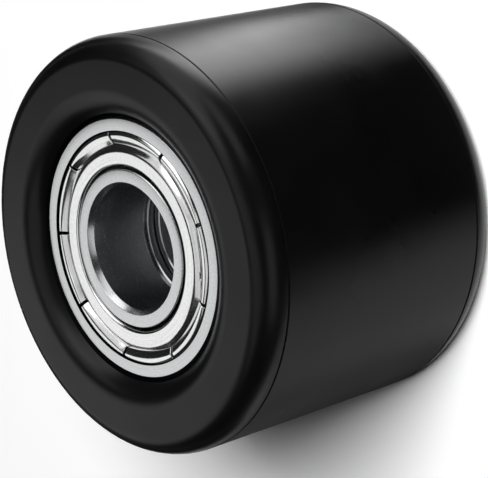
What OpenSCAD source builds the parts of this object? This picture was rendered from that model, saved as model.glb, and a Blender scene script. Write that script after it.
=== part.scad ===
// Chain tensioner roller: a black plastic sleeve closed by two moulded end caps, each holding a
// shielded ball bearing. The inner rings, a spacer tube and two washers are clamped on the axle.
// The roller stands on its rear end face, with Z along the axle and Z = 0 on that face.

/* [Roller] */
// Outside diameter of the roller
roller_d = 50; // [49:0.5:60]
// Length over the two end faces
roller_l = 37.9; // [36:0.1:60]
// How far each cap stands out of the sleeve, from the joint line to the end face
cap_reach = 3.45; // [3:0.05:4.5]
// Width of the rounded shoulder, from the end face's flat out to the cylinder
shoulder_r = 2.7; // [2:0.1:3.4]
// Wall of the sleeve
sleeve_wall = 4; // [3.25:0.25:4.5]
// Edge break on both sides of each joint line
joint_break = 0.15; // [0.05:0.05:0.3]

/* [Bearing] */
// Bore of the bearing, which is the size of the axle
bearing_bore = 15; // [13:0.5:16]
// Outside diameter of the bearing
bearing_d = 32; // [31:0.25:32.5]
// Width of the bearing
bearing_w = 9; // [8:0.25:10]
// Round on the outer corners of the outer ring
outer_corner = 0.67; // [0.3:0.01:0.9]
// Depth of the bore chamfer into the inner ring's end face
bore_chamfer = 0.3; // [0.1:0.05:0.5]
// Length of the bore chamfer along the axle
bore_chamfer_l = 0.8; // [0.4:0.1:1.2]
// Diameter of the circle that the ball centres lie on
pitch_d = 23.5; // [23.2:0.05:23.8]
// Diameter of a ball
ball_d = 4.762; // [4.5:0.001:4.9]
// Number of balls in each bearing
ball_count = 9; // [9:1:9]
// Radius of a race groove as a share of the ball diameter
race_conformity = 0.52; // [0.515:0.005:0.53]
// Gap between a ball and the bottom of each race groove
race_gap = 0.04; // [0.03:0.01:0.06]
// Diameter of the inner ring beside its race groove
inner_land_d = 20.5; // [20.2:0.1:20.8]
// Diameter of the inner ring's ends, beside the shields
inner_step_d = 18.86; // [18.4:0.02:19.2]
// Diameter of the outer ring's bore beside its race groove
outer_land_d = 26.5; // [26.2:0.1:26.8]
// Diameter of the outer ring's mouth, beside the shields
outer_mouth_d = 27.92; // [27.7:0.02:28.2]
// Depth from the end face to the shoulder that a shield is staked against
shield_seat = 1.3; // [1.2:0.05:1.5]
// How far the groove under the mouth is cut back to hold the shield
stake_cut = 0.24; // [0.2:0.02:0.4]
// Edge break on the inner edges of the ring faces
ring_edge = 0.08; // [0.02:0.02:0.15]

/* [Shield] */
// Thickness of the shield's sheet
shield_t = 0.25; // [0.2:0.05:0.3]
// Depth of the shield's flat below the ring faces
shield_depth = 0.2; // [0.05:0.01:0.3]
// Running gap between the shield's bore and the inner ring
shield_gap = 0.6; // [0.3:0.05:0.65]
// Width of the shield's flat
shield_flat_w = 1.42; // [1.1:0.01:1.5]
// Width of the slope outside the flat
slope_w = 1; // [0.7:0.05:1.1]
// Depth of the valley between the slope and the rim, below the flat
valley_depth = 0.5; // [0.4:0.05:0.6]
// Radius over the top of the rolled rim
rim_r = 0.7; // [0.6:0.02:0.75]
// Depth of the rim's top below the ring faces
rim_depth = 0.35; // [0.2:0.05:0.45]
// Gap between the rim's foot and the bottom of its groove
foot_gap = 0.12; // [0.05:0.01:0.2]
// Width of the slots that part the rim into segments
slot_w = 0.45; // [0.3:0.05:0.8]
// Number of slots in the rim
slot_count = 9; // [6:1:12]
// Angle of the first slot from X
slot_angle = 2; // [0:1:39]

/* [Cage] */
// Thickness of the cage's sheet
cage_t = 0.4; // [0.3:0.05:0.5]
// Gap between a ball and its pocket
pocket_gap = 0.12; // [0.08:0.01:0.2]
// Gap between the cage and the lands of the rings
cage_land_gap = 0.3; // [0.15:0.05:0.4]
// Diameter of a rivet's shank
rivet_d = 0.9; // [0.6:0.1:1]
// Diameter of a rivet's head
rivet_head_d = 1.5; // [1.3:0.1:1.6]
// Height of a rivet's head
rivet_head_h = 0.3; // [0.2:0.05:0.4]
// Gap round a rivet's shank in the cage
rivet_gap = 0.01; // [0.01:0.01:0.03]

/* [End cap] */
// Depth from the cap's end face to the bearing
recess = 1.65; // [1:0.05:2.4]
// Radius of the rounded lip that leads from the end face down to the bearing
lip_r = 3.8; // [2.5:0.1:4.4]
// Straight wall between the foot of the lip and the bearing's face
lip_wall = 0.15; // [0.05:0.05:0.5]
// Gap between the bearing and its pocket
pocket_fit = 0.02; // [0.01:0.01:0.04]
// Thickness of the wall that the bearing sits against
seat_wall = 2; // [1.5:0.25:3]
// Height of that wall inside the pocket, from the pocket's wall inwards
seat_lip = 1.8; // [1.4:0.1:1.9]
// Wall round the bearing pocket
hub_wall = 1.8; // [1.5:0.1:2]
// Wall of the spigot inside the sleeve
spigot_wall = 1.4; // [1.2:0.1:1.6]
// Gap between the spigot and the sleeve
spigot_fit = 0.02; // [0.01:0.01:0.04]
// Plastic left between the sleeve's end and the hollows behind it
hollow_floor = 1.5; // [1:0.25:2.5]
// Number of ribs between the hub and the spigot
rib_count = 12; // [8:1:16]
// Thickness of a rib
rib_t = 1.6; // [1.2:0.1:2]
// Lead-in on the spigot's end and inside the sleeve's ends
lead_in = 0.4; // [0.2:0.1:0.8]

/* [Axle stack] */
// Thickness of a spacer washer
washer_t = 1.3; // [1:0.1:2]
// Gap between a spacer washer and the axle
washer_gap = 0.1; // [0.05:0.05:0.2]
// Gap between the spacer tube and the axle, past its mouth
tube_gap = 0.12; // [0.1:0.02:0.3]
// Extra radius of the short counterbore in each mouth of the spacer tube
tube_step = 0.2; // [0.1:0.05:0.3]
// Length of that counterbore behind its chamfer
tube_step_l = 0.25; // [0.1:0.05:0.5]
// How far the washers and the tube stay inside the inner ring's ends
stack_inset = 0.2; // [0.1:0.05:0.3]
// Chamfer on the mouths of the washers and the spacer tube
mouth_chamfer = 0.35; // [0.2:0.05:0.4]
// Edge break on the outside of the washers and the spacer tube
stack_edge = 0.15; // [0.05:0.05:0.25]

/* [Hidden] */
SIDES = ["rear", "front"];

$fn = 144;
arc_fn = 96;
lip_steps = 16;
shoulder_steps = 24;
rim_steps = 12;
slack = 1;

black = "#1c1c1e";
ground_steel = "#c2c4c6";
pressed_steel = "#e4e5e6";
dark_steel = "#55575b";
ball_steel = "#d4d8dc";
rivet_steel = "#b9bcc0";

roller_r = roller_d/2;
sleeve_in_r = roller_r - sleeve_wall;
sleeve_low = cap_reach;
sleeve_high = roller_l - cap_reach;

bearing_r = bearing_d/2;
axle_r = bearing_bore/2;
half_w = bearing_w/2;
bearing_mid = recess + half_w;
pitch_r = pitch_d/2;
ball_r = ball_d/2;
race_r = race_conformity*ball_d;
inner_race_mid = pitch_r - ball_r - race_gap + race_r;
outer_race_mid = pitch_r + ball_r + race_gap - race_r;
inner_land_r = inner_land_d/2;
outer_land_r = outer_land_d/2;
inner_step_r = inner_step_d/2;
outer_mouth_r = outer_mouth_d/2;
seat_z = half_w - shield_seat;
groove_r = outer_mouth_r + stake_cut;

shield_in_r = inner_step_r + shield_gap;
shield_top = half_w - shield_depth;
flat_out_r = shield_in_r + shield_flat_w;
valley_r = flat_out_r + slope_w;
valley_z = shield_top - valley_depth;
bend_shift = shield_t*tan(atan2(valley_depth, slope_w)/2);
foot_r = groove_r - foot_gap;
rim_mid_r = outer_mouth_r - rim_r - foot_gap;
rim_mid_z = half_w - rim_depth - rim_r;
rim_from = 140;
rim_to = 20;
slot_from_r = rim_mid_r - rim_r;

cage_in_r = inner_land_r + cage_land_gap;
cage_out_r = outer_land_r - cage_land_gap;
pocket_r = ball_r + pocket_gap;
ball_step = 360/ball_count;

cap_pocket_r = bearing_r + pocket_fit;
cap_pocket_end = recess + bearing_w;
cap_end = cap_pocket_end + seat_wall;
seat_r = cap_pocket_r - seat_lip;
spigot_r = sleeve_in_r - spigot_fit;
hollow_in_r = cap_pocket_r + hub_wall;
hollow_out_r = spigot_r - spigot_wall;
hollow_low = sleeve_low + hollow_floor;
lip_drop = recess - lip_wall;
lip_tilt = acos(1 - lip_drop/lip_r);
lip_mid_r = cap_pocket_r + lip_r*sin(lip_tilt);
shoulder_mid_r = roller_r - shoulder_r;
shoulder_end = sleeve_low - joint_break;

stack_out_r = inner_step_r - stack_inset;
washer_in_r = axle_r + washer_gap;
tube_in_r = axle_r + tube_gap;
stack_low = recess + bearing_w;
stack_high = roller_l - stack_low;
tube_low = stack_low + washer_t;
tube_high = stack_high - washer_t;

// Points along an ellipse round [r, z] with the half axes a and b: a circle's arc where they are equal
function bow(r, z, a, b, from, to, steps) =
    [for (i = [0:steps]) let (t = from + (to - from)*i/steps) [r + a*cos(t), z + b*sin(t)]];

function flip(points) = [for (i = [len(points) - 1:-1:0]) points[i]];

// Takes the corner off a profile: the corner at the origin, the profile in the first quadrant
module corner_cut(r) {
    difference() {
        translate([-slack, -slack]) square(r + slack);
        translate([r, r]) circle(r, $fn = arc_fn);
    }
}

// Puts a part drawn with its outer end towards +Z at the front or at the rear of the roller
module facing_out(side, from_end) {
    if (side == "front") translate([0, 0, roller_l - from_end]) children();
    else translate([0, 0, from_end]) mirror([0, 0, 1]) children();
}

module roller_sleeve() {
    color(black) rotate_extrude() polygon([
        [sleeve_in_r + lead_in, sleeve_low],
        [roller_r - joint_break, sleeve_low],
        [roller_r, sleeve_low + joint_break],
        [roller_r, sleeve_high - joint_break],
        [roller_r - joint_break, sleeve_high],
        [sleeve_in_r + lead_in, sleeve_high],
        [sleeve_in_r, sleeve_high - lead_in],
        [sleeve_in_r, sleeve_low + lead_in]
    ]);
}

// Lip, flat, shoulder, spigot, seat and pocket wall of a cap, with the end face on the R axis
module cap_profile() {
    polygon(concat(
        bow(lip_mid_r, lip_r, lip_r, lip_r, -90 - lip_tilt, -90, lip_steps),
        bow(shoulder_mid_r, shoulder_end, shoulder_r, shoulder_end, -90, 0, shoulder_steps),
        [[roller_r - joint_break, sleeve_low]],
        [[spigot_r, sleeve_low]],
        [[spigot_r, cap_end - lead_in]],
        [[spigot_r - lead_in, cap_end]],
        [[seat_r, cap_end]],
        [[seat_r, cap_pocket_end]],
        [[cap_pocket_r, cap_pocket_end]]
    ));
}

// The hollows that keep the cap's walls even, open towards the inside of the roller
module cap_hollows() {
    difference() {
        translate([0, 0, hollow_low]) cylinder(r = hollow_out_r, h = cap_end - hollow_low + slack);
        translate([0, 0, hollow_low - slack])
            cylinder(r = hollow_in_r, h = cap_end - hollow_low + 3*slack);
        for (i = [0:rib_count - 1]) rotate([0, 0, i*360/rib_count])
            translate([0, -rib_t/2, hollow_low - slack])
                cube([hollow_out_r + slack, rib_t, cap_end - hollow_low + 3*slack]);
    }
}

module end_cap(side) {
    color(black) facing_out(side, 0) mirror([0, 0, 1]) difference() {
        rotate_extrude() cap_profile();
        cap_hollows();
    }
}

// Mouth, stake groove and shoulder for one shield, cut from the outer ring
module shield_seat_cut() {
    polygon([
        [0, seat_z],
        [groove_r, seat_z],
        [outer_mouth_r, half_w - rim_depth],
        [outer_mouth_r, half_w - ring_edge],
        [outer_mouth_r + ring_edge + slack, half_w + slack],
        [0, half_w + slack]
    ]);
}

module outer_ring(side) {
    color(ground_steel) facing_out(side, bearing_mid) rotate_extrude() difference() {
        translate([outer_land_r, -half_w]) square([bearing_r - outer_land_r, bearing_w]);
        translate([outer_race_mid, 0]) circle(race_r, $fn = arc_fn);
        for (turn = [0, 1]) mirror([0, turn]) {
            shield_seat_cut();
            translate([bearing_r, half_w]) mirror([1, 0]) mirror([0, 1]) corner_cut(outer_corner);
        }
    }
}

module inner_ring(side) {
    color(ground_steel) facing_out(side, bearing_mid) rotate_extrude() difference() {
        polygon([
            [axle_r + bore_chamfer, -half_w],
            [inner_step_r - ring_edge, -half_w],
            [inner_step_r, -half_w + ring_edge],
            [inner_step_r, -seat_z],
            [inner_land_r, -seat_z],
            [inner_land_r, seat_z],
            [inner_step_r, seat_z],
            [inner_step_r, half_w - ring_edge],
            [inner_step_r - ring_edge, half_w],
            [axle_r + bore_chamfer, half_w],
            [axle_r, half_w - bore_chamfer_l],
            [axle_r, -half_w + bore_chamfer_l]
        ]);
        translate([inner_race_mid, 0]) circle(race_r, $fn = arc_fn);
    }
}

// Pressed sheet ring: flat, slope, valley, rolled rim and the foot staked behind the mouth
module shield(side, outboard) {
    top = concat(
        [[shield_in_r, shield_top], [flat_out_r, shield_top], [valley_r, valley_z]],
        bow(rim_mid_r, rim_mid_z, rim_r, rim_r, rim_from, rim_to, rim_steps),
        [[foot_r, seat_z]]
    );
    underside = concat(
        [[shield_in_r, shield_top - shield_t]],
        [[flat_out_r - bend_shift, shield_top - shield_t]],
        [[valley_r - bend_shift, valley_z - shield_t]],
        bow(rim_mid_r, rim_mid_z, rim_r - shield_t, rim_r - shield_t, rim_from, rim_to, rim_steps),
        [[foot_r - shield_t, seat_z]]
    );
    color(pressed_steel) facing_out(side, bearing_mid) mirror([0, 0, outboard ? 0 : 1]) difference() {
        rotate_extrude() polygon(concat(top, flip(underside)));
        for (i = [0:slot_count - 1]) rotate([0, 0, slot_angle + i*360/slot_count])
            translate([slot_from_r, -slot_w/2, seat_z - slack])
                cube([groove_r, slot_w, shield_seat + 2*slack]);
    }
}

// Half of the riveted cage: a flat ring with a round pocket pressed up over each ball
module cage_half(side, outboard) {
    shell_r = pocket_r + cage_t;
    color(dark_steel) facing_out(side, bearing_mid) mirror([0, 0, outboard ? 0 : 1]) difference() {
        intersection() {
            union() {
                cylinder(r = cage_out_r, h = cage_t);
                for (i = [0:ball_count - 1]) rotate([0, 0, i*ball_step])
                    translate([pitch_r, 0, 0]) sphere(shell_r);
            }
            difference() {
                cylinder(r = cage_out_r, h = shell_r + slack);
                translate([0, 0, -slack]) cylinder(r = cage_in_r, h = shell_r + 3*slack);
            }
        }
        for (i = [0:ball_count - 1]) rotate([0, 0, i*ball_step])
            translate([pitch_r, 0, 0]) sphere(pocket_r);
        for (i = [0:ball_count - 1]) rotate([0, 0, (i + 0.5)*ball_step])
            translate([pitch_r, 0, -slack]) cylinder(d = rivet_d + 2*rivet_gap, h = cage_t + 2*slack, $fn = 36);
    }
}

// Rivets through the flats of both cage halves, with a domed head on each side
module cage_rivets(side) {
    edge = rivet_head_h/2;
    color(rivet_steel) facing_out(side, bearing_mid)
        for (i = [0:ball_count - 1]) rotate([0, 0, (i + 0.5)*ball_step]) translate([pitch_r, 0, 0])
            rotate_extrude($fn = 36) polygon([
                [0, -cage_t - rivet_head_h],
                [rivet_head_d/2 - edge, -cage_t - rivet_head_h],
                [rivet_head_d/2, -cage_t - edge],
                [rivet_head_d/2, -cage_t],
                [rivet_d/2, -cage_t],
                [rivet_d/2, cage_t],
                [rivet_head_d/2, cage_t],
                [rivet_head_d/2, cage_t + edge],
                [rivet_head_d/2 - edge, cage_t + rivet_head_h],
                [0, cage_t + rivet_head_h]
            ]);
}

module ball(side, n) {
    color(ball_steel) facing_out(side, bearing_mid) rotate([0, 0, (n - 1)*ball_step])
        translate([pitch_r, 0, 0]) sphere(ball_r);
}

module spacer_washer(side) {
    color(ground_steel) facing_out(side, stack_low + washer_t) rotate_extrude() polygon([
        [washer_in_r + mouth_chamfer, 0],
        [stack_out_r - stack_edge, 0],
        [stack_out_r, stack_edge],
        [stack_out_r, washer_t - stack_edge],
        [stack_out_r - stack_edge, washer_t],
        [washer_in_r + mouth_chamfer, washer_t],
        [washer_in_r, washer_t - mouth_chamfer],
        [washer_in_r, mouth_chamfer]
    ]);
}

// Tube between the washers, with a short counterbore in each mouth
module spacer_tube() {
    mouth_r = tube_in_r + tube_step;
    outer_z = mouth_chamfer;
    inner_z = outer_z + tube_step_l;
    color(dark_steel) rotate_extrude() polygon([
        [mouth_r + mouth_chamfer, tube_low],
        [stack_out_r - stack_edge, tube_low],
        [stack_out_r, tube_low + stack_edge],
        [stack_out_r, tube_high - stack_edge],
        [stack_out_r - stack_edge, tube_high],
        [mouth_r + mouth_chamfer, tube_high],
        [mouth_r, tube_high - outer_z],
        [mouth_r, tube_high - inner_z],
        [tube_in_r, tube_high - inner_z - tube_step],
        [tube_in_r, tube_low + inner_z + tube_step],
        [mouth_r, tube_low + inner_z],
        [mouth_r, tube_low + outer_z]
    ]);
}

roller_sleeve();
spacer_tube();
for (side = SIDES) {
    end_cap(side);
    spacer_washer(side);
    outer_ring(side);
    inner_ring(side);
    shield(side, true);
    shield(side, false);
    cage_half(side, true);
    cage_half(side, false);
    cage_rivets(side);
    for (n = [1:ball_count])
        ball(side, n);
}
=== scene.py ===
import math

import bpy
import numpy as np
from mathutils import Matrix, Vector


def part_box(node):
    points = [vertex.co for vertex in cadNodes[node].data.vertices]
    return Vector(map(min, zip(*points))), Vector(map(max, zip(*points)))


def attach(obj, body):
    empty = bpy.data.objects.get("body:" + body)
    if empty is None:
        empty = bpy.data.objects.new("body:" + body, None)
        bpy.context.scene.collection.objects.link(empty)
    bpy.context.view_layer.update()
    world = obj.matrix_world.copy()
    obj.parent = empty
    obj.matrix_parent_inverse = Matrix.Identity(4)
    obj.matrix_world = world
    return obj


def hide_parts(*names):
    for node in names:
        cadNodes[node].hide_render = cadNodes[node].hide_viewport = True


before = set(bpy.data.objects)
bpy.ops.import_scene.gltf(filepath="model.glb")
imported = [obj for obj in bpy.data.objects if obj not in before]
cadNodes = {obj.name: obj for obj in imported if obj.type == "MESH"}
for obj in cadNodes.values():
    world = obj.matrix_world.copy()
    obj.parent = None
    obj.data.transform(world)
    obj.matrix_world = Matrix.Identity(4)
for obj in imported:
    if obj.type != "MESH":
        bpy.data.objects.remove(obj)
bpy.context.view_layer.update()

mm = 0.001
print("frame loaded,", len(cadNodes), "nodes")


# Turns an sRGB hex colour into the linear colour that the shaders use
def linear(hexColour):
    parts = [int(hexColour[i:i + 2], 16) / 255 for i in (1, 3, 5)]
    return tuple(c / 12.92 if c <= 0.04045 else ((c + 0.055) / 1.055) ** 2.4 for c in parts) + (1.0,)


# Adds one shader node: settings are its own options, sockets are values by name or number,
# and links are outputs that feed its inputs
def addNode(tree, kind, settings=None, sockets=None, links=None):
    node = tree.nodes.new("ShaderNode" + kind)
    for name, value in (settings or {}).items():
        setattr(node, name, value)
    for name, value in (sockets or {}).items():
        node.inputs[name].default_value = value
    for name, source in (links or {}).items():
        tree.links.new(source, node.inputs[name])
    return node


# Starts a material and gives it back with its tree and its Principled shader
def newMaterial(name):
    material = bpy.data.materials.new(name)
    material.use_nodes = True
    tree = material.node_tree
    return material, tree, tree.nodes["Principled BSDF"]


# Puts an object made from this mesh, lamp or camera into the scene
def addObject(name, data):
    made = bpy.data.objects.new(name, data)
    bpy.context.scene.collection.objects.link(made)
    return made


# Lowest point, highest point and outer radius of a carried-over node, in millimetres
def reachOf(node):
    low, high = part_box(node)
    return low.z / mm, high.z / mm, high.x / mm


# Coordinates that run round the axle: radius, height and the arc length at radiusMm, each divided by the
# size in millimetres that one unit of the pattern should have across and along the cut
def turnedCoordinates(tree, acrossMm, alongMm, radiusMm):
    place = addNode(tree, "TexCoord").outputs["Object"]
    parts = addNode(tree, "SeparateXYZ", links={0: place})
    flat = addNode(tree, "CombineXYZ", links={0: parts.outputs[0], 1: parts.outputs[1]})
    radius = addNode(tree, "VectorMath", {"operation": "LENGTH"}, links={0: flat.outputs[0]})
    angle = addNode(tree, "Math", {"operation": "ARCTAN2"}, links={0: parts.outputs[1], 1: parts.outputs[0]})
    across = 1 / (acrossMm * mm)
    scaled = [
        addNode(tree, "Math", {"operation": "MULTIPLY"}, {1: across}, {0: radius.outputs["Value"]}),
        addNode(tree, "Math", {"operation": "MULTIPLY"}, {1: across}, {0: parts.outputs[2]}),
        addNode(tree, "Math", {"operation": "MULTIPLY"}, {1: radiusMm / alongMm}, {0: angle.outputs[0]}),
    ]
    joined = addNode(tree, "CombineXYZ", links={i: n.outputs[0] for i, n in enumerate(scaled)})
    return joined.outputs[0]


# The four-sided faces of a grid of points with rows times columns places, closed round the columns or the
# rows where a surface comes back to its start
def gridQuads(rows, columns, roundColumns=False, roundRows=False):
    corner = np.arange(rows * columns).reshape(rows, columns)
    if roundColumns:
        corner = np.hstack([corner, corner[:, :1]])
    if roundRows:
        corner = np.vstack([corner, corner[:1]])
    around = corner[:-1, :-1], corner[1:, :-1], corner[1:, 1:], corner[:-1, 1:]
    return np.stack([c.ravel() for c in around], axis=-1)


# Makes a smooth piece from a grid of points in millimetres and its faces. It takes the place of a
# carried-over node and is named for that node and for how its surface was made.
def gridPiece(node, made, points, quads, slot, body):
    name = node + "_" + made
    mesh = bpy.data.meshes.new(name)
    flat = points.reshape(-1, 3) * mm
    mesh.vertices.add(len(flat))
    mesh.vertices.foreach_set("co", flat.ravel())
    mesh.loops.add(quads.size)
    mesh.loops.foreach_set("vertex_index", quads.ravel().astype(np.int32))
    mesh.polygons.add(len(quads))
    mesh.polygons.foreach_set("loop_start", np.arange(0, quads.size, 4, dtype=np.int32))
    mesh.polygons.foreach_set("use_smooth", np.ones(len(quads), dtype=bool))
    mesh.update(calc_edges=True)
    mesh.validate()
    mesh.materials.append(materials[slot])
    piece = addObject(name, mesh)
    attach(piece, body)
    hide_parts(node)
    return piece


# Rounds the corners of a profile given as (radius, height, corner radius): each corner becomes an arc that
# touches both its sides, and so starts and ends r / tan(half the corner's angle) away from the corner
def roundedProfile(corners, closed, steps=6):
    at = np.array([c[:2] for c in corners], dtype=float)
    out = []
    for i, (here, radius) in enumerate(zip(at, (c[2] for c in corners))):
        if radius == 0 or (not closed and i in (0, len(at) - 1)):
            out.append(here[None])
            continue
        before = at[i - 1] - here
        after = at[(i + 1) % len(at)] - here
        before, after = before / np.linalg.norm(before), after / np.linalg.norm(after)
        half = np.arccos(np.clip(before @ after, -1, 1)) / 2
        middle = here + (before + after) / np.linalg.norm(before + after) * radius / np.sin(half)
        start = here + before * radius / np.tan(half) - middle
        end = here + after * radius / np.tan(half) - middle
        sweep = np.arctan2(start[0] * end[1] - start[1] * end[0], start @ end)
        turn = np.linspace(0, sweep, steps + 1)[:, None]
        side = np.array([-start[1], start[0]])
        out.append(middle + start * np.cos(turn) + side * np.sin(turn))
    return np.vstack(out)


# Black nylon, injection moulded in a lightly blasted tool: deep black, satin, with a fine even grain
nylon = {
    "dark": "#040405",
    "light": "#09090a",
    "roughness": (0.26, 0.34),
    "index": 1.53,
    "shine": 0.22,           # the blasted skin mirrors less than a polished one when seen from straight on
    "grainMm": 0.22,         # blasted grain of the mould, drawn coarser than it is, so that it shows
    "grainDetail": 3.0,
    "grainRough": 0.6,
    "cloudMm": 9.0,          # slow change of gloss where the melt flowed
    "cloudDetail": 2.0,
    "cloudSpread": (0.3, 0.7),
    "bumpMm": 0.0016,
    "bumpStrength": 0.6,
}


def mouldedNylon():
    material, tree, shader = newMaterial("moulded_black_nylon")
    place = addNode(tree, "TexCoord").outputs["Object"]
    grain = addNode(tree, "TexNoise", links={"Vector": place}, sockets={
        "Scale": 1 / (nylon["grainMm"] * mm), "Detail": nylon["grainDetail"],
        "Roughness": nylon["grainRough"]})
    cloud = addNode(tree, "TexNoise", links={"Vector": place}, sockets={
        "Scale": 1 / (nylon["cloudMm"] * mm), "Detail": nylon["cloudDetail"]})
    tone = addNode(tree, "Mix", {"data_type": "RGBA"}, links={0: cloud.outputs["Fac"]}, sockets={
        6: linear(nylon["dark"]), 7: linear(nylon["light"])})
    smooth, rough = nylon["roughness"]
    low, high = nylon["cloudSpread"]
    gloss = addNode(tree, "MapRange", links={"Value": cloud.outputs["Fac"]}, sockets={
        "From Min": low, "From Max": high, "To Min": smooth, "To Max": rough})
    bump = addNode(tree, "Bump", links={"Height": grain.outputs["Fac"]}, sockets={
        "Distance": nylon["bumpMm"] * mm, "Strength": nylon["bumpStrength"]})
    shader.inputs["IOR"].default_value = nylon["index"]
    shader.inputs["Specular IOR Level"].default_value = nylon["shine"]
    tree.links.new(tone.outputs[2], shader.inputs["Base Color"])
    tree.links.new(gloss.outputs[0], shader.inputs["Roughness"])
    tree.links.new(bump.outputs[0], shader.inputs["Normal"])
    return material


# What all the steel finishes share: how the lines and the grit are broken up, and how far they go from dark
# to light
steelLines = {"lineDetail": 3.0, "lineRough": 0.65, "gritDetail": 2.0, "spread": (0.35, 0.65),
              "bumpStrength": 0.5}


# Lays painted shade over a steel's own colour between two radii: a near-black band for a gap that lies in
# shade
def paintedShadeBand(tree, place, tone, band):
    inPlane = addNode(tree, "VectorMath", {"operation": "MULTIPLY"}, {1: (1, 1, 0)}, {0: place})
    radius = addNode(tree, "VectorMath", {"operation": "LENGTH"}, links={0: inPlane.outputs[0]})
    middle = (band["toMm"] + band["fromMm"]) / 2 * mm
    half = (band["toMm"] - band["fromMm"]) / 2 * mm
    inside = addNode(tree, "Math", {"operation": "COMPARE"}, {1: middle, 2: half},
                     {0: radius.outputs["Value"]})
    return addNode(tree, "Mix", {"data_type": "RGBA"}, {7: linear(band["colour"])},
                   {0: inside.outputs[0], 6: tone.outputs[2]})


# A steel finish cut or ground round the axle: fine lines along the turn, darker and lighter by a little
def turnedSteel(name, finish):
    material, tree, shader = newMaterial(name)
    fine = turnedCoordinates(tree, finish["lineMm"], finish["lineMm"] * finish["stretch"], finish["radiusMm"])
    lines = addNode(tree, "TexNoise", links={"Vector": fine}, sockets={
        "Scale": 1.0, "Detail": steelLines["lineDetail"], "Roughness": steelLines["lineRough"]})
    place = addNode(tree, "TexCoord").outputs["Object"]
    grit = addNode(tree, "TexNoise", links={"Vector": place}, sockets={
        "Scale": 1 / (finish["gritMm"] * mm), "Detail": steelLines["gritDetail"]})
    both = addNode(tree, "Mix", {"data_type": "FLOAT"}, {0: finish["gritShare"]},
                   {2: lines.outputs["Fac"], 3: grit.outputs["Fac"]})
    low, high = steelLines["spread"]
    spread = addNode(tree, "MapRange", links={"Value": both.outputs[0]}, sockets={
        "From Min": low, "From Max": high})
    tone = addNode(tree, "Mix", {"data_type": "RGBA"}, links={0: spread.outputs[0]}, sockets={
        6: linear(finish["dark"]), 7: linear(finish["light"])})
    # painted shade: a band of the finish coloured near black where a gap lies in shade
    if "paintedGapShade" in finish:
        tone = paintedShadeBand(tree, place, tone, finish["paintedGapShade"])
    smooth, rough = finish["roughness"]
    gloss = addNode(tree, "MapRange", links={"Value": spread.outputs[0]}, sockets={
        "To Min": smooth, "To Max": rough})
    bump = addNode(tree, "Bump", links={"Height": both.outputs[0]}, sockets={
        "Distance": finish["bumpMm"] * mm, "Strength": steelLines["bumpStrength"]})
    shader.inputs["Metallic"].default_value = 1.0
    tree.links.new(tone.outputs[2], shader.inputs["Base Color"])
    tree.links.new(gloss.outputs[0], shader.inputs["Roughness"])
    tree.links.new(bump.outputs[0], shader.inputs["Normal"])
    return material


# In the finishes below, lineMm is the width of a line and stretch how many times longer it is. Lines and
# grit are drawn coarser than the real ones, so that they show.

# Bearing steel, hardened and ground: pale neutral grey with a fine directionless grit over the grinding lines
groundRing = {
    "dark": "#c4c6c8", "light": "#dadbdb", "roughness": (0.2, 0.28),
    "lineMm": 0.10, "stretch": 40, "radiusMm": 12, "gritMm": 0.16, "gritShare": 0.5, "bumpMm": 0.0008,
    # painted shade: round the outer ring's mouth the steel is coloured near black, for the shade in the gap
    # beside the shield's rim
    "paintedGapShade": {"fromMm": 12, "toMm": 13.985, "colour": "#0d0d0e"},
}
# Cold rolled strip, pressed: bright and smooth, with faint drawing lines left by the press tool
pressedStrip = {
    "dark": "#dcdddd", "light": "#f0f0ef", "roughness": (0.10, 0.16),
    "lineMm": 0.16, "stretch": 60, "radiusMm": 11, "gritMm": 0.3, "gritShare": 0.35, "bumpMm": 0.0004,
}
# Free cutting steel, turned: even feed marks round the axle under a light oil film
oiledSpacer = {
    "dark": "#8b8d90", "light": "#b4b6b8", "roughness": (0.14, 0.24),
    "lineMm": 0.14, "stretch": 120, "radiusMm": 8, "gritMm": 0.4, "gritShare": 0.15, "bumpMm": 0.003,
}
# Phosphated strip for the cages: dull grey with a fine crystalline grain
cageStrip = {
    "dark": "#6e7072", "light": "#909294", "roughness": (0.38, 0.5),
    "lineMm": 0.3, "stretch": 4, "radiusMm": 12, "gritMm": 0.12, "gritShare": 0.7, "bumpMm": 0.001,
}
# Mild steel rivets, cold headed: a little brighter than the cage where the punch has struck
headedRivet = {
    "dark": "#9b9da0", "light": "#b9bbbe", "roughness": (0.28, 0.38),
    "lineMm": 0.2, "stretch": 3, "radiusMm": 12, "gritMm": 0.15, "gritShare": 0.6, "bumpMm": 0.0008,
}
# Chrome steel balls, lapped: a mirror with the faintest haze
lappedBall = {
    "dark": "#cdd0d3", "light": "#dfe1e3", "roughness": (0.05, 0.08),
    "lineMm": 0.2, "stretch": 2, "radiusMm": 12, "gritMm": 0.2, "gritShare": 0.8, "bumpMm": 0.0001,
}

materials = {
    "black_plastic": mouldedNylon(),
    "ground_bearing_steel": turnedSteel("ground_bearing_steel", groundRing),
    "pressed_shield_steel": turnedSteel("pressed_bright_strip", pressedStrip),
    "turned_spacer_steel": turnedSteel("turned_spacer_steel", oiledSpacer),
    "cage_sheet_steel": turnedSteel("phosphated_cage_strip", cageStrip),
    "rivet_steel": turnedSteel("cold_headed_rivet_steel", headedRivet),
    "polished_ball_steel": turnedSteel("lapped_ball_steel", lappedBall),
}
print("materials made:", ", ".join(materials))


# Height of a bearing's outboard or inboard face, and 1 where that face looks up or -1 where it looks down
def bearingFace(side, outboard=True):
    bottom, top = reachOf(side + "_outer_ring")[:2]
    return (top, 1) if (side == "front") == outboard else (bottom, -1)


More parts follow.
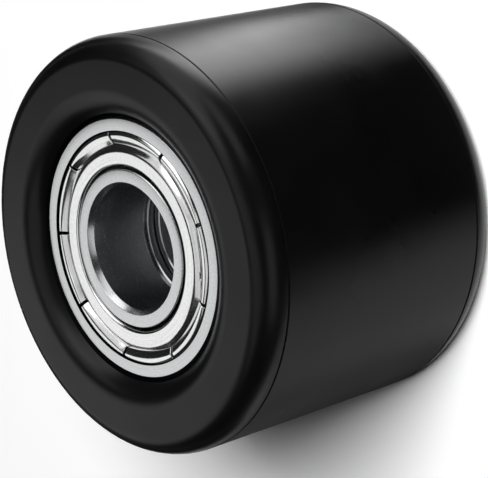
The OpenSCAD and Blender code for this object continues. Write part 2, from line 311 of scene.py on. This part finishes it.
# Shield, pressed from strip: a flat, a soft bend down to the valley, and a rolled rim cut into tabs by slots.
# Depths are below the ring face. Each tab was bent along a straight line, so its valley is a chord.
shield = {
    "boreMm": 10.12, "edgeDrop": 0.2, "edgeRound": 0.14,
    "flatDepth": 0.24, "bendMm": 11.6, "bendRound": 1.5,
    "valleyMm": 12.54, "valleyDepth": 0.6, "valleyRound": 0.1,
    "rimMiddle": 13.36, "rimRound": 0.4, "rimDepth": 0.2, "rimFromDeg": 122, "rimToDeg": 5,
    "footDepth": 1.29,
    "thick": 0.25,
    "tilt": 0.12, "tiltDeg": 160,        # it sits deeper on one side
    "slots": 9, "slotMm": 0.45, "firstSlotDeg": 2.0, "slotFromMm": 12.5,
    "cutEaseMm": 0.03,                   # a row of faces that starts this little inside the slots is cut too
    "chordMm": (0.22, 0.26, 0.34, 0.30, 0.22, 0.34, 0.26, 0.24, 0.28),     # valley pulled in at mid tab
    "skewMm": (0.0, 0.05, -0.16, 0.06, 0.0, -0.10, 0.04, 0.0, 0.08),       # and more so towards one end
    "dentMm": (0.02, 0.03, 0.10, 0.05, 0.02, 0.06, 0.03, 0.02, 0.04),      # dip of the bend beside the slot
    "dentShare": 0.10,                   # how much of the tab the dip takes
    # the pull starts at the bend, is full before the valley, is less on the rise and ends at the rim's middle
    "fullBeforeMm": 0.14, "riseBeforeMm": 0.25, "riseShare": 0.6,
    "notch": {"tab": 8, "fromShare": 0.24, "toShare": 0.31, "lowMm": 12.25, "highMm": 12.62},
    "rimPoints": 22, "cornerSteps": 10, "stretchMm": 0.09, "tabColumns": 26,
}


# The shield's section from its bore to the foot of its rim, as (radius, depth): straight stretches with
# rounded corners, then the rim as an arc. Long stretches get points of their own.
def shieldProfile():
    arc = np.radians(np.linspace(shield["rimFromDeg"], shield["rimToDeg"], shield["rimPoints"]))
    rimTop = shield["rimDepth"] + shield["rimRound"]
    rim = np.stack([shield["rimMiddle"] + shield["rimRound"] * np.cos(arc),
                    rimTop - shield["rimRound"] * np.sin(arc)], axis=-1)
    inner = roundedProfile([
        (shield["boreMm"], shield["flatDepth"] + shield["edgeDrop"], 0),
        (shield["boreMm"], shield["flatDepth"], shield["edgeRound"]),
        (shield["bendMm"], shield["flatDepth"], shield["bendRound"]),
        (shield["valleyMm"], shield["valleyDepth"], shield["valleyRound"]),
        (rim[0][0], rim[0][1], 0),
    ], closed=False, steps=shield["cornerSteps"])
    fine = [inner[:1]]
    for a, b in zip(inner[:-1], inner[1:]):
        parts = max(1, int(np.linalg.norm(b - a) / shield["stretchMm"]))
        fine.append(a + (b - a) * (np.arange(1, parts + 1) / parts)[:, None])
    foot = np.array([[rim[-1][0], shield["footDepth"]]])
    return np.vstack(fine + [rim[1:], foot])


# The shield's section carried round the axle, tab by tab, as radius, depth and angle. A column is a share u
# of the way from one slot to the next, and its angle moves with the radius so that the slots stay parallel.
# The valley goes in by chord (1 - (2u - 1)^2) + skew (2u - 1), and the whole shield leans by a cosine.
def bentTabs(r, depth, u):
    count = shield["slots"]
    tab = np.arange(count)[:, None]
    chord, skew, dent = (np.array(shield[k])[:, None] for k in ("chordMm", "skewMm", "dentMm"))
    pull = chord * (1 - (2 * u - 1) ** 2) + skew * (2 * u - 1)
    reach = [shield["bendMm"], shield["valleyMm"] - shield["fullBeforeMm"],
             shield["rimMiddle"] - shield["riseBeforeMm"], shield["rimMiddle"]]
    share = np.interp(r, reach, [0, 1, shield["riseShare"], 0])[:, None, None]
    radius = r[:, None, None] - pull * share
    near = np.exp(-(np.minimum(u, 1 - u) / shield["dentShare"]) ** 2)
    pitch = 2 * np.pi / count
    lean = shield["tilt"] * np.cos((tab + u) * pitch - math.radians(shield["tiltDeg"]))
    sink = depth[:, None, None] + dent * near * share + lean
    half = np.arcsin(shield["slotMm"] / 2 / np.maximum(radius, shield["slotFromMm"]))
    angle = math.radians(shield["firstSlotDeg"]) + tab * pitch + half + u * (pitch - 2 * half)
    return [a.reshape(len(r), -1) for a in (radius, sink, angle)]


# Which of the shield's faces are cut away: the slots between the tabs, and a notch in one tab
def shieldCuts(r, u):
    around = shield["slots"] * len(u)
    start = np.repeat(r[:-1], around)
    column = np.tile(np.arange(around), len(r) - 1)
    tab, within = column // len(u), column % len(u)
    slots = (within == len(u) - 1) & (start >= shield["slotFromMm"] - shield["cutEaseMm"])
    notch = shield["notch"]
    along = (u[within] >= notch["fromShare"]) & (u[within] < notch["toShare"])
    across = (start >= notch["lowMm"]) & (start < notch["highMm"])
    return slots | ((tab == notch["tab"]) & along & across)


# The shield's upper side is the grid of bent tabs, and Solidify gives the strip its thickness below it. The
# columns of the grid stand closer together beside the slots.
def pressedShield(side, place):
    profile = shieldProfile()
    r, depth = profile[:, 0], profile[:, 1]
    u = 0.5 - 0.5 * np.cos(np.pi * np.linspace(0, 1, shield["tabColumns"]))
    radius, sink, angle = bentTabs(r, depth, u)
    faceZ, way = bearingFace(side, place == "outboard")
    points = np.stack([radius * np.cos(angle), radius * np.sin(angle), faceZ - way * sink], axis=-1)
    quads = gridQuads(*radius.shape, roundColumns=True)[~shieldCuts(r, u)]
    if way > 0:
        quads = quads[:, ::-1]
    node = side + "_" + place + "_shield"
    piece = gridPiece(node, "pressed", points, quads, "pressed_shield_steel", "shell")
    wall = piece.modifiers.new("sheet", "SOLIDIFY")
    wall.thickness = shield["thick"] * mm
    wall.offset = -1
    wall.use_even_offset = True
    wall.use_quality_normals = True


# A closed profile carried round the axle: (r cos t, r sin t, z)
def turnedPiece(node, made, profile, columns, slot, body):
    area = np.sum(profile[:, 0] * np.roll(profile[:, 1], -1) - np.roll(profile[:, 0], -1) * profile[:, 1])
    if area < 0:
        profile = profile[::-1]
    t = np.linspace(0, 2 * np.pi, columns, endpoint=False)
    r, z = profile[:, :1], profile[:, 1:]
    points = np.stack([r * np.cos(t), r * np.sin(t), np.broadcast_to(z, (len(z), columns))], axis=-1)
    quads = gridQuads(len(profile), columns, roundColumns=True, roundRows=True)
    gridPiece(node, made, points, quads[:, ::-1], slot, body)


# The groove that the balls run in, from the ring's middle to the edge of its land: (middle + way R cos a,
# R sin a), where way is 1 for an outer ring and -1 for an inner one
def ballGroove(ring, way):
    edge = math.acos(abs(ring["landMm"] - ring["raceMiddle"]) / ring["raceRound"])
    a = np.linspace(0, edge, ring["groovePoints"])
    return np.stack([ring["raceMiddle"] + way * ring["raceRound"] * np.cos(a), ring["raceRound"] * np.sin(a)],
                    axis=-1)


# Inner ring, ground: its bore corners are long chamfers, and the groove lies on the balls' path.
# Heights are above the ring's middle plane, and fromMm is where the half profile starts.
innerRing = {
    "boreMm": 7.5, "fromMm": 1, "stepMm": 9.46, "stepDepth": 1.3, "landMm": 10.25, "edgeRound": 0.16,
    "cornerIn": 0.42, "cornerDeep": 0.72, "cornerSoft": 0.12, "cornerCrisp": 0.05,
    "raceMiddle": 11.805, "raceRound": 2.476, "groovePoints": 16,
    "columns": 360,
}


# The inner ring's half profile, mirrored: bore, its chamfered corner, face, step, land and groove
def groundInnerRing(side):
    bottom, top = reachOf(side + "_inner_ring")[:2]
    middle, half = (bottom + top) / 2, (top - bottom) / 2
    bore, step, stepZ = innerRing["boreMm"], innerRing["stepMm"], half - innerRing["stepDepth"]
    soft = innerRing["edgeRound"]
    shoulder = roundedProfile([
        (bore, innerRing["fromMm"], 0), (bore, half - innerRing["cornerDeep"], innerRing["cornerCrisp"]),
        (bore + innerRing["cornerIn"], half, innerRing["cornerSoft"]), (step, half, soft),
        (step, stepZ, 0), (innerRing["landMm"], stepZ, soft),
    ], closed=False)
    upper = np.vstack([shoulder, ballGroove(innerRing, -1)[::-1]])
    lower = (upper * [1, -1])[::-1][1:]
    profile = np.vstack([upper, lower]) + [0, middle]
    turnedPiece(side + "_inner_ring", "ground", profile, innerRing["columns"],
                "ground_bearing_steel", "core")


# Outer ring, ground: crisp corners outside, and a mouth undercut for the shield's rim
outerRing = {
    "faceOutMm": 15.36, "chamferDeep": 1.2, "chamferRound": 0.1, "fromMm": 1, "edgeRound": 0.04,
    "mouthMm": 13.96, "mouthDeep": 0.1, "undercutMm": 13.97, "seatDepth": 1.3, "landMm": 13.25,
    "raceMiddle": 11.695, "raceRound": 2.476, "groovePoints": 16,
    "columns": 360,
}


# The outer ring's half profile, mirrored: groove, land, seat, undercut mouth, face and chamfer
def groundOuterRing(side):
    bottom, top, out = reachOf(side + "_outer_ring")
    middle, half = (bottom + top) / 2, (top - bottom) / 2
    seatZ = half - outerRing["seatDepth"]
    crisp = outerRing["edgeRound"]
    face = roundedProfile([
        (outerRing["landMm"], seatZ, 0), (outerRing["undercutMm"], seatZ, 0),
        (outerRing["mouthMm"], half - outerRing["mouthDeep"], 0), (outerRing["mouthMm"], half, crisp),
        (outerRing["faceOutMm"], half, crisp),
        (out, half - outerRing["chamferDeep"], outerRing["chamferRound"]), (out, outerRing["fromMm"], 0),
    ], closed=False)
    upper = np.vstack([ballGroove(outerRing, 1), face])
    lower = (upper * [1, -1])[::-1][:-1]
    profile = np.vstack([upper, lower]) + [0, middle]
    turnedPiece(side + "_outer_ring", "ground", profile, outerRing["columns"],
                "ground_bearing_steel", "shell")


# Washers and spacer tube, turned: what shows of them through the bore is the bright chamfers of their mouths
spacers = {
    "washerBoreMm": 7.6, "tubeBoreMm": 7.62, "mouthBoreMm": 7.82, "mouthDeep": 0.7,
    "chamferIn": 0.42, "chamferDeep": 0.26, "crisp": 0.04, "edgeRound": 0.2,
    "columns": 240,
}


# A washer's section is a rectangle with rounded corners outside and chamfers at the bore
def turnedWasher(side):
    bottom, top, out = reachOf(side + "_spacer_washer")
    bore, crisp, soft = spacers["washerBoreMm"], spacers["crisp"], spacers["edgeRound"]
    inward, deep = spacers["chamferIn"], spacers["chamferDeep"]
    profile = roundedProfile([
        (bore, bottom + deep, crisp), (bore + inward, bottom, crisp), (out, bottom, soft),
        (out, top, soft), (bore + inward, top, crisp), (bore, top - deep, crisp),
    ], closed=True)
    turnedPiece(side + "_spacer_washer", "turned", profile, spacers["columns"],
                "turned_spacer_steel", "core")


# The tube's section is like a washer's, with a short counterbore in each mouth that ends in a chamfer half
# as deep as the outer one
def turnedTube():
    bottom, top, out = reachOf("spacer_tube")
    wide, narrow, step = spacers["mouthBoreMm"], spacers["tubeBoreMm"], spacers["mouthDeep"]
    crisp, soft = spacers["crisp"], spacers["edgeRound"]
    inward, deep = spacers["chamferIn"], spacers["chamferDeep"]
    profile = roundedProfile([
        (wide, bottom + deep, crisp), (wide + inward, bottom, crisp), (out, bottom, soft),
        (out, top, soft), (wide + inward, top, crisp), (wide, top - deep, crisp),
        (wide, top - step, crisp), (narrow, top - step - deep / 2, crisp),
        (narrow, bottom + step + deep / 2, crisp), (wide, bottom + step, crisp),
    ], closed=True)
    turnedPiece("spacer_tube", "turned", profile, spacers["columns"],
                "turned_spacer_steel", "core")


turnedTube()
for side in ("rear", "front"):
    turnedWasher(side)
    for place in ("outboard", "inboard"):
        pressedShield(side, place)
    groundInnerRing(side)
    groundOuterRing(side)
print("shields, bearing rings, washers and spacer tube made")


# Gives each carried-over node the finish of the kind of piece that its name ends with
finishOf = {
    "sleeve": "black_plastic", "end_cap": "black_plastic",
    "outer_ring": "ground_bearing_steel", "inner_ring": "ground_bearing_steel",
    "shield": "pressed_shield_steel",
    "spacer_washer": "turned_spacer_steel", "spacer_tube": "turned_spacer_steel",
    "half": "cage_sheet_steel", "rivets": "rivet_steel",
}
for name, piece in cadNodes.items():
    slot = next((s for ending, s in finishOf.items() if name.endswith(ending)), "polished_ball_steel")
    piece.data.materials.clear()
    piece.data.materials.append(materials[slot])
print("finishes laid on the carried-over pieces")


# Camera: the photograph looks at the front face from 40 degrees above this standing roller, rolled so that
# the roller lies as it does there
camera = {
    "fromFace": (176.10, -2.29, 133.19),      # from the middle of the front bearing's face, in millimetres
    "right": (0.6283, -0.2559, -0.7347),
    "up": (0.1663, 0.9667, -0.1945),
    "lens": 139.35,
    "sensor": 36.0,
    "nearMm": 10, "farMm": 20000,
}


def makeCamera():
    data = bpy.data.cameras.new("camera")
    data.lens = camera["lens"]
    data.sensor_width = camera["sensor"]
    data.clip_start = camera["nearMm"] * mm
    data.clip_end = camera["farMm"] * mm
    eye = addObject("camera", data)
    right = Vector(camera["right"]).normalized()
    back = right.cross(Vector(camera["up"])).normalized()
    up = back.cross(right)
    turn = Matrix((right, up, back)).transposed().to_4x4()
    faceMiddle = Vector((0, 0, bearingFace("front")[0]))
    eye.matrix_world = Matrix.Translation((faceMiddle + Vector(camera["fromFace"])) * mm) @ turn
    bpy.context.scene.camera = eye


# Floor: pale paper. The eye, gloss and clear things see its colour as pure white, so the background is white
# and the shadow stays.
floor = {"colour": "#f4f4f4", "seen": "#ffffff", "reachMm": 2500}


def makeFloor():
    material, tree = newMaterial("floor_paper")[:2]
    tree.nodes.clear()
    ray = addNode(tree, "LightPath")
    eyeOrGloss = addNode(tree, "Math", {"operation": "MAXIMUM"}, links={
        0: ray.outputs["Is Camera Ray"], 1: ray.outputs["Is Glossy Ray"]})
    seen = addNode(tree, "Math", {"operation": "MAXIMUM"}, links={
        0: eyeOrGloss.outputs[0], 1: ray.outputs["Is Transmission Ray"]})
    tone = addNode(tree, "Mix", {"data_type": "RGBA"}, links={0: seen.outputs[0]}, sockets={
        6: linear(floor["colour"]), 7: linear(floor["seen"])})
    paper = addNode(tree, "BsdfDiffuse", links={"Color": tone.outputs[2]})
    addNode(tree, "OutputMaterial", links={"Surface": paper.outputs[0]})
    reach = floor["reachMm"] * mm
    mesh = bpy.data.meshes.new("floor")
    mesh.from_pydata([(-reach, -reach, 0), (reach, -reach, 0), (reach, reach, 0), (-reach, reach, 0)], [],
                     [(0, 1, 2, 3)])
    mesh.materials.append(material)
    addObject("floor", mesh)


# Cards lie on the floor beside the roller and are seen only in gloss. They shape what its shiny black wall
# mirrors. A card is placed by the part of the sleeve that mirrors it: the angle round the sleeve and the
# distance out from its wall, each near to far. fadeDeg and fadeMm soften its edges, and depthAt says how
# much it covers at an angle, where that is less than all. A card lies over those listed before it.
cards = {
    # the dark side of the sleeve, and the same further out for the shoulder of the cap
    "black_card": {"fromDeg": (-22, -60), "toDeg": (45, 42), "fadeDeg": 12, "outMm": (1, 200), "fadeMm": 0,
                   "glow": 0.0},
    "far_card": {"fromDeg": (-60, -60), "toDeg": (42, 42), "fadeDeg": 12, "outMm": (200, 900), "fadeMm": 0,
                 "glow": 0.0},
    # the broad highlight along the upper side, and its end on the shoulder
    "bright_card": {"fromDeg": (38, 31), "toDeg": (78, 52), "fadeDeg": 10, "outMm": (4, 60), "fadeMm": 23,
                    "glow": 4.35},
    "shoulder_card": {"fromDeg": (34, 38), "toDeg": (54, 62), "fadeDeg": 8, "outMm": (45, 400), "fadeMm": 15,
                      "glow": 7.0},
    # the darker line above the highlight
    "top_shade_card": {"fromDeg": (60, 61), "toDeg": (84, 76), "fadeDeg": 7, "outMm": (1, 60), "fadeMm": 0,
                       "glow": 0.0, "depthAt": ((60, 0.85), (90, 0.85))},
    # the soft shade over the lower side, lightest at its upper edge
    "shade_card": {"fromDeg": (-105, -105), "toDeg": (-6, -6), "fadeDeg": 8, "outMm": (1, 60), "fadeMm": 0,
                   "glow": 0.0, "depthAt": ((-70, 0.86), (-58, 0.8), (-52, 0.6), (-45, 0.42), (-32, 0.3))},
}
cardGrid = {"rows": 53, "columns": 21}
# The first card lies this high above the floor, and each next one a step higher
cardHeight = {"firstMm": 0.3, "stepMm": 0.2}


# A sheet that only gloss sees: black or glowing, and as opaque as its cover attribute says. Its points are
# given in the plane, by metres along X and Y.
def layCard(name, x, y, heightMm, cover, glow):
    points = np.stack([x, y, np.full_like(x, heightMm * mm)], axis=-1)
    mesh = bpy.data.meshes.new(name)
    mesh.from_pydata(points.reshape(-1, 3).tolist(), [], gridQuads(*x.shape).tolist())
    share = mesh.attributes.new("cover", "FLOAT", "POINT")
    share.data.foreach_set("value", np.clip(cover, 0, 1).ravel().astype(np.float32))
    material, tree = newMaterial(name)[:2]
    tree.nodes.clear()
    fade = addNode(tree, "Attribute", {"attribute_name": "cover"})
    clear = addNode(tree, "BsdfTransparent")
    light = addNode(tree, "Emission", sockets={"Strength": glow})
    both = addNode(tree, "MixShader", links={
        0: fade.outputs["Fac"], 1: clear.outputs[0], 2: light.outputs[0]})
    addNode(tree, "OutputMaterial", links={"Surface": both.outputs[0]})
    mesh.materials.append(material)
    sheet = addObject(name, mesh)
    sheet.visible_camera = False
    sheet.visible_diffuse = False
    sheet.visible_shadow = False


# A card's points lie where the camera sees the floor in the sleeve: at an angle t round the sleeve, and a
# distance d out from its wall, the point is R (cos t, sin t) + d (cos 2t, sin 2t)
def layMirroredCard(name, card, heightMm):
    radius = reachOf("roller_sleeve")[2] * mm
    out = np.linspace(*card["outMm"], cardGrid["columns"])
    low = np.interp(out, card["outMm"], card["fromDeg"])
    high = np.interp(out, card["outMm"], card["toDeg"])
    degrees = low + (high - low) * np.linspace(0, 1, cardGrid["rows"])[:, None]
    t, d = np.radians(degrees), out * mm
    x = radius * np.cos(t) + d * np.cos(2 * t)
    y = radius * np.sin(t) + d * np.sin(2 * t)
    cover = np.clip(np.minimum(degrees - low, high - degrees) / card["fadeDeg"], 0, 1)
    if "depthAt" in card:
        cover = cover * np.interp(degrees, *zip(*card["depthAt"]))
    if card["fadeMm"]:
        cover = cover * np.clip((out - out[0]) / card["fadeMm"], 0, 1)
    layCard(name, x, y, heightMm, cover, card["glow"])


# A second black card lies further out behind, where only the rounded shoulders mirror it
backCard = {"fromDeg": 95, "toDeg": 265, "fadeDeg": 12, "fromMm": 78, "toMm": 600, "fadeMm": 14,
            "rows": 60, "columns": 30}


# The card behind is a sector of a ring, radius by angle
def layBackCard(heightMm):
    degrees = np.linspace(backCard["fromDeg"], backCard["toDeg"], backCard["rows"])[:, None]
    out = np.geomspace(backCard["fromMm"], backCard["toMm"], backCard["columns"])
    a, r = np.radians(degrees), out * mm
    aside = np.minimum(degrees - degrees[0], degrees[-1] - degrees)
    cover = np.minimum((out - out[0]) / backCard["fadeMm"], 1) * np.minimum(aside / backCard["fadeDeg"], 1)
    layCard("back_card", r * np.cos(a), r * np.sin(a), heightMm, cover, 0.0)


# A dim glowing disc under the bore stands for the light that comes in from its far end
boreCard = {"innerMm": 0.1, "outerMm": 6.9, "glow": 0.42, "rows": 49, "columns": 8}


# The disc under the bore, angle by radius
def layBoreCard(heightMm):
    a = np.linspace(0, 2 * np.pi, boreCard["rows"])[:, None]
    r = np.linspace(boreCard["innerMm"], boreCard["outerMm"], boreCard["columns"]) * mm
    x = r * np.cos(a)
    layCard("bore_card", x, r * np.sin(a), heightMm, np.ones_like(x), boreCard["glow"])


# Lamps: turnDeg goes from X towards Y and riseDeg up from the floor, and each lamp faces the roller at
# aimMm above the floor. The key lights colours and lays the shadow, and gloss doesn't see it. The softboxes
# are what gloss and metal mirror, and they light nothing else.
lamps = {
    "key": {"turnDeg": 30, "riseDeg": 50, "awayMm": 1600, "sizeMm": (860, 860), "radiance": 16.2,
            "mirrored": False},
    "top_softbox": {"turnDeg": 86, "riseDeg": 35, "awayMm": 620, "sizeMm": (420, 860), "radiance": 1.7},
    "upper_softbox": {"turnDeg": 118, "riseDeg": 64, "awayMm": 640, "sizeMm": (400, 400), "radiance": 0.75},
    "side_softbox": {"turnDeg": 45, "riseDeg": 15, "awayMm": 700, "sizeMm": (480, 300), "radiance": 1.2},
    "zenith_softbox": {"turnDeg": -78, "riseDeg": 77, "awayMm": 640, "sizeMm": (500, 490), "radiance": 0.68},
    "low_card": {"turnDeg": -28, "riseDeg": 16, "awayMm": 700, "sizeMm": (560, 320), "radiance": 0.85},
    "face_softbox": {"turnDeg": 192, "riseDeg": 34, "awayMm": 700, "sizeMm": (440, 440), "radiance": 1.0},
}
aimMm = 19.5
world = {"colour": "#ffffff", "strength": 0.015}


# A lamp's power is its radiance times pi times its area
def makeLamps():
    aim = Vector((0, 0, aimMm * mm))
    for name, lamp in lamps.items():
        data = bpy.data.lights.new(name, "AREA")
        data.shape = "RECTANGLE"
        data.size, data.size_y = (side * mm for side in lamp["sizeMm"])
        data.energy = lamp["radiance"] * math.pi * data.size * data.size_y
        a, e = math.radians(lamp["turnDeg"]), math.radians(lamp["riseDeg"])
        toLamp = Vector((math.cos(a) * math.cos(e), math.sin(a) * math.cos(e), math.sin(e)))
        light = addObject(name, data)
        light.location = aim + toLamp * lamp["awayMm"] * mm
        light.visible_glossy = lamp.get("mirrored", True)
        light.visible_diffuse = not light.visible_glossy
        light.rotation_mode = "QUATERNION"
        light.rotation_quaternion = toLamp.to_track_quat("Z", "Y")


def makeWorld():
    sky = bpy.data.worlds.new("studio")
    bpy.context.scene.world = sky
    sky.use_nodes = True
    dome = sky.node_tree.nodes["Background"]
    dome.inputs["Color"].default_value = linear(world["colour"])
    dome.inputs["Strength"].default_value = world["strength"]


makeCamera()
makeFloor()
for layer, (name, card) in enumerate(cards.items()):
    layMirroredCard(name, card, cardHeight["firstMm"] + cardHeight["stepMm"] * layer)
layBackCard(cardHeight["firstMm"])
layBoreCard(cardHeight["firstMm"])
makeLamps()
makeWorld()
bpy.context.scene.view_settings.view_transform = "Standard"
print("camera, floor, cards and lamps set")
